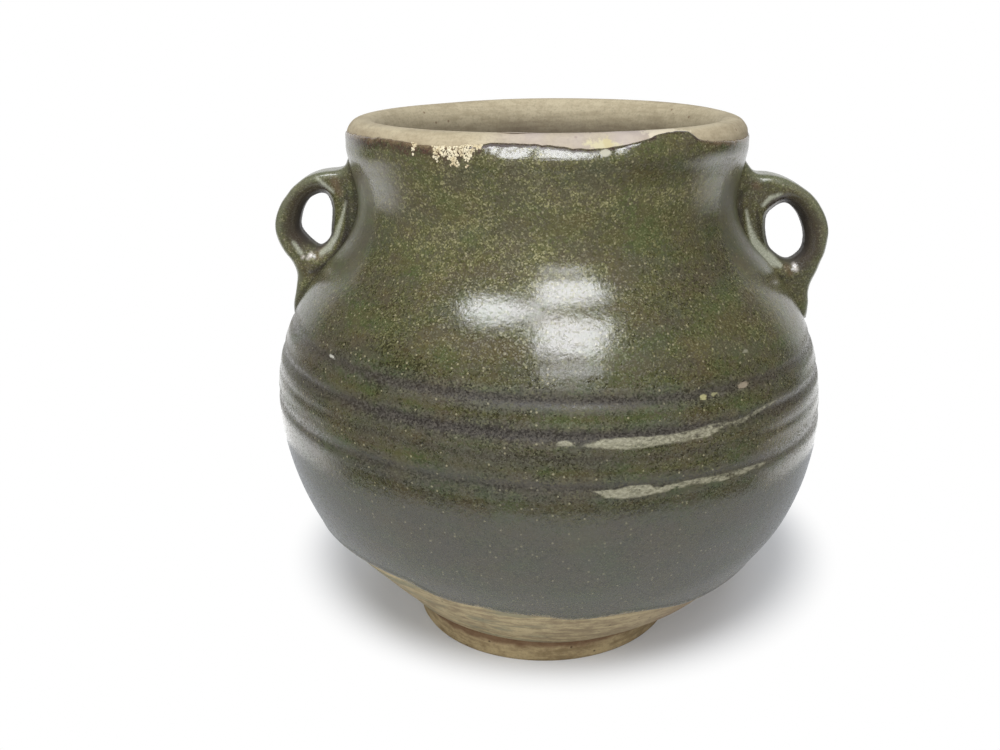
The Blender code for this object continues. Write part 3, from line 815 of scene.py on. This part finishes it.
base = jar["footHeight"]
bodyLine = ([(0, jar["floorTop"])] + inside(jar["floorTop"], jar["seamHeight"])[1:]
            + outside(base, jar["seamHeight"])[::-1] + [(0, base)])
throwPiece("jarBody", bodyLine, 300, 225, "foot", "buff_stoneware", "jar_body")

collarLow = jar["seamHeight"] + 0.02 * mm
collarLine = (inside(collarLow, jar["lipHeight"], 50)[:-1] + overCrown()[::-1]
              + outside(collarLow, jar["height"])[:-1][::-1])
collarLine.append(collarLine[0])
throwPiece("neckCollar", collarLine, 230, 260, "lip", "rim_stoneware", "neck_collar")

footTop, footUnder = jar["footRadius"] - 0.1 * mm, jar["footRadius"] - jar["footTaper"]
innerUnder = footUnder - jar["footWidth"]
footLine = [(innerUnder - 0.5 * mm, 0.8 * mm), (innerUnder - 0.8 * mm, base + 0.1 * mm),
            (footTop - 0.2 * mm, base + 0.1 * mm), (footTop, base - 0.4 * mm), (footUnder + 0.2 * mm, 0.8 * mm),
            (footUnder - 0.4 * mm, 0), (innerUnder + 0.4 * mm, 0)]
footLine.append(footLine[0])
throwPiece("footRing", footLine, 120, 225, "ring", "foot_stoneware", "foot_ring")

# lining
liningTop = jar["height"] - lining["drop"]
linedWall = inside(jar["floorTop"], liningTop, 110)
liningLine = [(max(r - lining["thickness"], 0), z) for r, z in linedWall]
liningLine[0] = (0, jar["floorTop"] + lining["thickness"])
liningLine += [(r + lining["overlap"], z) for r, z in linedWall[:0:-1]]
liningLine.append((0, jar["floorTop"] - lining["overlap"]))
throwPiece("innerGlaze", liningLine, 220, 200, "lining", "dark_lining", "inner_glaze")

# outer coat
coatLine = outside(coat["lowest"], jar["height"], 220)
coatShares, coatLength = alongShares(coatLine)
coatHeights = [z for radius, z in coatLine]


def edgePoints(line):
    # degrees and heights as shares of the way round and along the section
    return [((turn + 180) / 360, float(np.interp(z * mm, coatHeights, coatShares))) for turn, z in line]


pourTree = wheelTree("pourCoat", {edge: edgePoints(coat[edge]) for edge in ("runLine", "lipLine")})
coatPiece = turned("outerGlaze", coatLine, pourTree, {
    **throwing, **coat["form"], "Rows": coat["rows"], "Turns": coat["turns"], "Finish": finishes["glaze"],
    "Section Length": coatLength}, "olive_glaze", "outer_glaze")

# crust fired onto the lip
crust = {
    "Density": 7.0e6,  # grains to the square metre
    "Grain": 0.29 * mm,
    "Seed": 7,
    # middle and half width in degrees, and how far down from the edge of the glaze
    "patches": [(-112.4, 7, 3.4 * mm), (-124.8, 1.1, 1.8 * mm), (-117.4, 1.8, 3 * mm), (-109.6, 2.2, 3.8 * mm)],
}


def crustTree(name):
    # grains strewn on the glaze below the lip, thickest at its edge
    inputs = {title: crust[title] for title in ("Density", "Grain", "Seed")}
    tree, bench, given = newTree(name, {**inputs, "Finish": None})
    place = bench.node("GeometryNodeInputPosition")
    turn = turnOf(*place.parts()[:2])
    fromLip = bench.node("GeometryNodeInputNamedAttribute", {"Name": "fromLip"})
    ragged = (bench.noise(place, 620, 3, 0.7) - 0.46) * (9 * mm)
    reach = 0
    for middle, half, down in crust["patches"]:
        reach = ((1 - ((turn - middle) / half) ** 2) * down).most(reach)
    keep = (reach > 0.02 * mm) * (fromLip + ragged < reach)
    near = (fromLip < 7 * mm) * (abs(turn + 116) < 14)
    points = bench.node("GeometryNodeDistributePointsOnFaces", {
        "Mesh": given("Geometry"), "Selection": near, "Density": given("Density"), "Seed": given("Seed")})
    grain = bench.node("GeometryNodeMeshIcoSphere", {"Radius": given("Grain"), "Subdivisions": 1})
    index = bench.node("GeometryNodeInputIndex")
    size = bench.node("FunctionNodeRandomValue", {2: 0.45, 3: 1.35, "ID": index, "Seed": given("Seed")}, out=1)
    strewn = bench.node("GeometryNodeInstanceOnPoints", {
        "Points": points, "Selection": keep, "Instance": grain, "Rotation": points.other("Rotation"),
        "Scale": bench.vector(size, size * 1.15, size * 0.7)})
    closeTree(bench, strewn, given("Finish"))
    return tree


crustPiece = newObject("lipCrust", coatPiece.data.copy())
strew = crustPiece.modifiers.new("strewCrust", "NODES")
strew.node_group = crustTree("strewCrust")
setInputs(strew, {**crust, "Finish": finishes["crust"]})
freeze(crustPiece)
seat(crustPiece, "rim_stoneware")


# ears
earForm = {
    "width": 11 * mm, "round": 2.4 * mm, "slope": 4.8 * mm, "hollow": 0.86,  # the ring slopes into its hole
    "buried": 4.5,  # how far its inner edge runs into the wall, in millimetres
    "tailTop": 104 * mm, "tailLength": 17 * mm, "tailNarrowing": 0.35,
    "coilHeight": 0.9, "coilReach": 1.3, "seamDepth": 0.6, "seamReach": 0.9,  # in millimetres
    "flare": 1.2 * mm, "flareReach": 1.7 * mm,
    "voxel": 0.42 * mm, "rub": 0.5, "rubs": 10,  # the grain of the clay and how it is rubbed smooth
    "markEdge": 0.7, "rustEdge": 1.6,  # how soft the marks end, in millimetres
}
ears = {
    "leftEar": {
        "side": -1, "node": "left_ear",
        "outer": [(51, 128.9), (52, 127), (53.8, 126.2), (57.5, 125.9), (60.2, 125.3), (62.7, 124.2),
            (64.5, 122.9), (66.2, 121.5), (67.3, 120.1), (68.4, 118.8), (69.3, 117.5), (70.5, 115), (71.2, 112.4),
            (71.2, 109.8), (70.5, 107.2), (69.2, 104.6), (67.4, 101.9), (66.5, 98.9), (66.8, 96.2), (67.4, 93.4),
            (68.1, 90.6), (68.3, 87.5)],
        "hole": [(57.9, 120), (56.3, 116.6), (56.8, 111.2), (57.4, 108.2), (60.2, 105.8), (62.5, 107.2),
            (64.8, 109.9), (65.2, 112), (64, 116), (61.7, 118.9)],
        # the end of the coil, laid back on the neck under the hole, and the marks on the ear's faces, as lines of
        # distance from the axis, height and half width; the pale marks are painted highlights, the dark ones pooled
        # glaze and painted shade
        "coil": [(50.9, 120), (51.9, 114.5), (53.4, 109.5), (56.2, 105.2), (59.5, 102.8), (62.5, 100.8)],
        "marks": {
            "paleMark": [[(51.6, 118.6, 0.2), (53.2, 113.8, 0.4), (54.7, 110.2, 0.7), (57, 106.3, 0.8),
                (59.5, 104.4, 0.5)], [(66.4, 107.6, 0.3), (64.6, 104.8, 0.4)], [(58.9, 124.4, 0.3),
                (55.2, 121, 0.45)]],
            "darkMark": [[(51.2, 121, 0.4), (51.6, 112.8, 0.6), (53.1, 107, 0.7), (56, 103.3, 0.6),
                (58.9, 101.7, 0.5), (61.8, 99.9, 0.4)], [(56, 118, 0.4), (55.6, 113, 0.5), (56.3, 109, 0.3)]],
            "rustMark": [[(54.4, 123.4, 1), (53.4, 120.6, 0.8)], [(58.6, 105.2, 0.6), (60.4, 104.2, 0.8)]],
            "chipMark": [[(62.2, 104.2, 0.5), (62.8, 103.4, 0.4)], [(64, 103.9, 0.3), (64.2, 103.5, 0.3)]],
        },
    },
    "rightEar": {
        "side": 1, "node": "right_ear",
        "outer": [(51.3, 128.8), (52.6, 127.2), (53.9, 125.9), (55.4, 125.2), (58.3, 125.1), (61.8, 124.3),
            (64.8, 123), (67, 121.7), (68.9, 120.4), (70.3, 119.1), (71.4, 117.8), (73.1, 115.1), (74.2, 112.5),
            (74.7, 109.9), (74.5, 107.2), (74.1, 104.5), (73.2, 101.8), (72.3, 98.9), (71.2, 96.2), (70.8, 93.4),
            (71.1, 90.6), (71, 86.5)],
        "hole": [(62.8, 117.5), (66.2, 115.2), (68.3, 111.2), (69, 107.7), (68.3, 104.4), (64.7, 102.1),
            (60.2, 105), (58.7, 108.5), (58.2, 112.6), (59, 115.2)],
        "coil": [(50.4, 117), (51.6, 110), (53.3, 105.6), (56.6, 101.8), (60.5, 99.8), (64, 98.6)],
        "marks": {
            "paleMark": [[(52.2, 116.2, 0.2), (53.3, 111.7, 0.5), (54.8, 108, 1), (57.6, 104.4, 1.4),
                (59.8, 102.7, 1.3), (62.4, 101.2, 0.5)], [(56.6, 117.5, 0.5), (58.4, 119.4, 0.6),
                (60.9, 120.3, 0.3)]],
            "darkMark": [[(50.6, 121, 0.6), (50.4, 117, 0.8), (51.7, 108, 0.7), (56, 102.2, 0.7), (60, 99.6, 0.6),
                (63, 98.6, 0.5)], [(55, 115.6, 0.4), (56.2, 111, 0.8), (57.4, 107.4, 0.4)], [(61.5, 119.2, 0.5),
                (65.6, 117.6, 0.6), (68.4, 113.6, 0.6)]],
            "rustMark": [[(54.2, 122.6, 0.8), (55.2, 122.2, 0.5)], [(64.2, 100.6, 0.5), (65, 99.4, 0.5)]],
            "chipMark": [[(66.2, 101.2, 0.4), (66.7, 100.2, 0.5)]],
        },
    },
}


def smoothLine(points, closed, step=0.5):
    # a rounded line through the points, with points about a step apart
    p, n, made = np.array(points, float), len(points), []
    for k in range(n if closed else n - 1):
        a, b, c, d = (p[(k + j) % n] if closed else p[min(max(k + j, 0), n - 1)] for j in (-1, 0, 1, 2))
        count = max(2, int(np.linalg.norm(c - b) / step))
        for t in np.linspace(0, 1, count, endpoint=False):
            bend = (2 * a - 5 * b + 4 * c - d) * t * t
            made.append(0.5 * (2 * b + (c - a) * t + bend + (3 * b - a - 3 * c + d) * t ** 3))
    if not closed:
        made.append(p[-1])
    return made


def reachOf(places, points):
    # how far each place lies from a drawn line, in millimetres, less the line's own half width where it has one
    best = np.full(len(places), 99.0)
    for a, b in zip(points[:-1], points[1:]):
        start, span = np.array(a[:2]), np.array(b[:2]) - np.array(a[:2])
        share = np.clip(((places - start) @ span) / max(span @ span, 1e-9), 0, 1)
        away = np.linalg.norm(places - start - share[:, None] * span, axis=1)
        if len(a) > 2:
            away = away - (a[2] + (b[2] - a[2]) * share)
        best = np.minimum(best, away)
    return best


def nearest(places, points):
    # how far each place lies from the nearest of the points, from millimetres to metres
    line = np.array(points)
    return np.array([np.hypot(*(line - place).T).min() for place in places]) * mm


def readPoints(mesh, kind):
    values = np.zeros(len(mesh.vertices) * 3)
    mesh.vertices.foreach_get(kind, values)
    return values.reshape(-1, 3)


def coatRadiusAt(z):
    return clayRadius(min(z, jar["height"])) + coat["form"]["Stand"]


def earBlank(title, ear):
    # the ring as a slab with rounded edges, stood upright on its side of the neck
    flat = bpy.data.curves.new(title, "CURVE")
    flat.dimensions, flat.fill_mode = "2D", "BOTH"
    flat.extrude = ear["width"] / 2 - ear["round"]
    flat.bevel_depth, flat.bevel_resolution, flat.offset = ear["round"], 6, -ear["round"]
    heights = np.linspace(ear["outer"][-1][1], ear["outer"][0][1], 16)
    buried = [(coatRadiusAt(z * mm) / mm - ear["buried"], z) for z in heights]
    for outline in (smoothLine(ear["outer"], False) + buried, smoothLine(ear["hole"], True)):
        spline = flat.splines.new("POLY")
        spline.points.add(len(outline) - 1)
        for point, (radius, z) in zip(spline.points, outline):
            point.co = (radius * mm, z * mm, 0, 1)
        spline.use_cyclic_u = True
    drawn = newObject(title, flat)
    mesh = evaluated(drawn)
    bpy.data.objects.remove(drawn)
    co = readPoints(mesh, "co")
    co = np.stack([co[:, 0], -co[:, 2], co[:, 1]], axis=1)
    co[:, 1] *= 1 - ear["tailNarrowing"] * np.clip((ear["tailTop"] - co[:, 2]) / ear["tailLength"], 0, 1)
    co[:, 0] *= ear["side"]
    mesh.vertices.foreach_set("co", co.ravel())
    faceOutwards(mesh)
    return newObject(title, mesh)


def makeEar(title, ear):
    made = earBlank(title, ear)
    remesh = made.modifiers.new("clayGrain", "REMESH")
    remesh.mode, remesh.voxel_size = "VOXEL", ear["voxel"]
    relax = made.modifiers.new("rubbed", "SMOOTH")
    relax.factor, relax.iterations = ear["rub"], ear["rubs"]
    freeze(made)
    mesh = made.data
    co, normal = readPoints(mesh, "co"), readPoints(mesh, "normal")
    places = np.stack([abs(co[:, 0]), co[:, 2]], axis=1) / mm
    # thinner towards the hole
    holeGap = nearest(places, smoothLine(ear["hole"], True))
    share = np.clip(holeGap / ear["slope"], 0, 1)
    co[:, 1] *= np.sqrt(1 - ear["hollow"] * (1 - share) ** 2)
    # the end of the coil stands out, with a seam beside it
    coil = reachOf(places, ear["coil"]) / ear["coilReach"]
    seam = reachOf(places, [q[:2] for q in ear["marks"]["paleMark"][0]]) / ear["seamReach"]
    lift = ear["coilHeight"] * np.exp(-coil ** 2) - ear["seamDepth"] * np.exp(-seam ** 2)
    co[:, 1] += np.sign(co[:, 1]) * lift * mm * np.clip(abs(co[:, 1]) / (3 * mm), 0, 1)
    # flared where it meets the wall
    radius = np.hypot(co[:, 0], co[:, 1])
    rootGap = radius - np.array([coatRadiusAt(z) for z in co[:, 2]])
    outward = co * (1, 1, 0) / radius[:, None]
    sideways = normal - (normal * outward).sum(1)[:, None] * outward
    flare = ear["flare"] * np.exp(-np.maximum(rootGap, 0) / ear["flareReach"])
    co = co + sideways * flare[:, None]
    mesh.vertices.foreach_set("co", co.ravel())
    # what its glaze follows: distances, and the marks on both faces
    stores = {"rootGap": rootGap, "holeGap": holeGap, "rimGap": nearest(places, smoothLine(ear["outer"], False))}
    for mark, lines in ear["marks"].items():
        away = np.min([reachOf(places, line) for line in lines], axis=0)
        softness = ear["rustEdge" if mark == "rustMark" else "markEdge"]
        stores[mark] = np.clip(0.5 - away / softness, 0, 1) * (abs(co[:, 1]) > 1.5 * mm)
    for name, values in stores.items():
        mesh.attributes.new(name, "FLOAT", "POINT").data.foreach_set("value", values.astype(np.float32))
    faceOutwards(mesh)
    mesh.shade_smooth()
    mesh.materials.clear()
    mesh.materials.append(finishes["ear"])
    seat(made, "ear_glaze", ear["node"])


for title, ear in ears.items():
    makeEar(title, {**earForm, **ear})


# floor, lamps and camera
studio = {
    "floorRadius": 0.16, "floorColour": 0.8,
    # where the floor turns into the camera's white: middle, distances, and the white share near the jar
    "shadeAt": (0.0055, 0.038), "whiteFrom": (0.068, 0.090), "whiteShare": 0.12,
    "airLow": 0.24, "airFront": 1.3,  # light on matt surfaces from all round, and from the front left
    # what the glaze mirrors: bright walls behind, a dark room in front, and the pale table
    "airMirror": 0.9, "airDark": 0.05, "airTable": 1.58,
    "lampTint": (0.95, 0.96, 1.0),
    # panels under the ceiling, facing down: place, size, brightness and shape
    "lamps": {
        "mainPanel": {"at": (0.185, -0.615, 1.105), "size": (0.52, 0.45), "glow": 8.8, "shape": "RECTANGLE",
                      "aim": (0.185, -0.615, 0)},
        "leftPanel": {"at": (-0.290, -0.262, 1.105), "size": (0.52, 0.34), "glow": 8.8, "shape": "ELLIPSE",
                      "aim": (-0.290, -0.262, 0)},
        "frontPanel": {"at": (0.154, -0.803, 0.794), "size": (0.40, 0.09), "glow": 6.2, "shape": "RECTANGLE",
                       "aim": (0, -0.05, 0.10)},
    },
    "cameraAt": (0.0, -0.280, 0.1662), "cameraPitch": 70.84, "lens": 38.17, "shift": -0.0456,
}


def addFloor():
    # a small round table top: beyond it the air shows the same white to the camera
    bm = bmesh.new()
    bmesh.ops.create_circle(bm, cap_ends=True, radius=studio["floorRadius"], segments=96)
    mesh = bpy.data.meshes.new("floor")
    bm.to_mesh(mesh)
    bm.free()
    floor = newObject("floor", mesh)
    made = bpy.data.materials.new("paleFloor")
    bench = emptyBench(made)
    place = bench.node("ShaderNodeTexCoord", out="Object")
    x, y = place.parts()[:2]
    middleX, middleY = studio["shadeAt"]
    far = ((x - middleX) ** 2 + (y - middleY) ** 2) ** 0.5
    level = studio["floorColour"]
    paint = bench.mix(bench.noise(place, 60), (level * 0.96, level * 0.98, level),
                      (level * 0.93, level * 0.96, level))
    matt = bench.node("ShaderNodeBsdfDiffuse", {"Color": paint})
    glow = bench.node("ShaderNodeEmission", {"Color": (1, 1, 1), "Strength": 1})
    path = bench.node("ShaderNodeLightPath", out="Is Camera Ray")
    near = studio["whiteShare"]
    share = path * (far.rise(*studio["whiteFrom"]) * (1 - near) + near)
    both = bench.node("ShaderNodeMixShader", {0: share, 1: matt, 2: glow})
    bench.node("ShaderNodeOutputMaterial", {"Surface": both})
    mesh.materials.append(made)


def addWorld():
    world = bpy.data.worlds.new("studioAir")
    bench = emptyBench(world)
    x, y, z = bench.node("ShaderNodeTexCoord", out="Generated").parts()
    # bright walls behind and beside the jar, a dark room in front of it
    lit = y.rise(0.45, 0.75) * (y - z.most(0) * 0.9).rise(0.05, 0.3)
    below = (-z).rise(0.1, 0.4)
    table = below * y.rise(-0.06, 0.4)
    mirrored = (lit * (1 - below) * studio["airMirror"] + table * studio["airTable"]).most(studio["airDark"])
    fromFront = (-x * 0.22 - y * 0.97 - z * 0.05).rise(0.35, 1)
    camera = bench.node("ShaderNodeLightPath", out="Is Camera Ray")
    glossy = camera.other("Is Glossy Ray").most(camera.other("Is Transmission Ray"))
    diffuse = fromFront * studio["airFront"] + studio["airLow"]
    strength = camera + (1 - camera) * (glossy * mirrored + (1 - glossy) * diffuse)
    air = bench.node("ShaderNodeBackground", {"Color": (1, 1, 1), "Strength": strength})
    bench.node("ShaderNodeOutputWorld", {"Surface": air})
    bpy.context.scene.world = world


def addLamp(name, lamp):
    data = bpy.data.lights.new(name, "AREA")
    data.shape = lamp["shape"]
    data.size, data.size_y = lamp["size"]
    area = lamp["size"][0] * lamp["size"][1] * (math.pi / 4 if lamp["shape"] == "ELLIPSE" else 1)
    data.energy = lamp["glow"] * area * math.pi
    data.color = studio["lampTint"]
    made = newObject(name, data)
    made.location = lamp["at"]
    way = Vector(lamp["aim"]) - Vector(lamp["at"])
    made.rotation_euler = way.to_track_quat("-Z", "Y").to_euler()


def addCamera():
    data = bpy.data.cameras.new("photoCamera")
    data.sensor_width, data.lens, data.shift_x = 36, studio["lens"], studio["shift"]
    data.clip_start, data.clip_end = 0.01, 20
    made = newObject("photoCamera", data)
    made.location = studio["cameraAt"]
    made.rotation_euler = (math.radians(studio["cameraPitch"]), 0, 0)
    bpy.context.scene.camera = made


addFloor()
addWorld()
for name, lamp in studio["lamps"].items():
    addLamp(name, lamp)
addCamera()
bpy.context.scene.view_settings.view_transform = "Standard"
print("studio: floor, air,", len(studio["lamps"]), "lamps and camera")
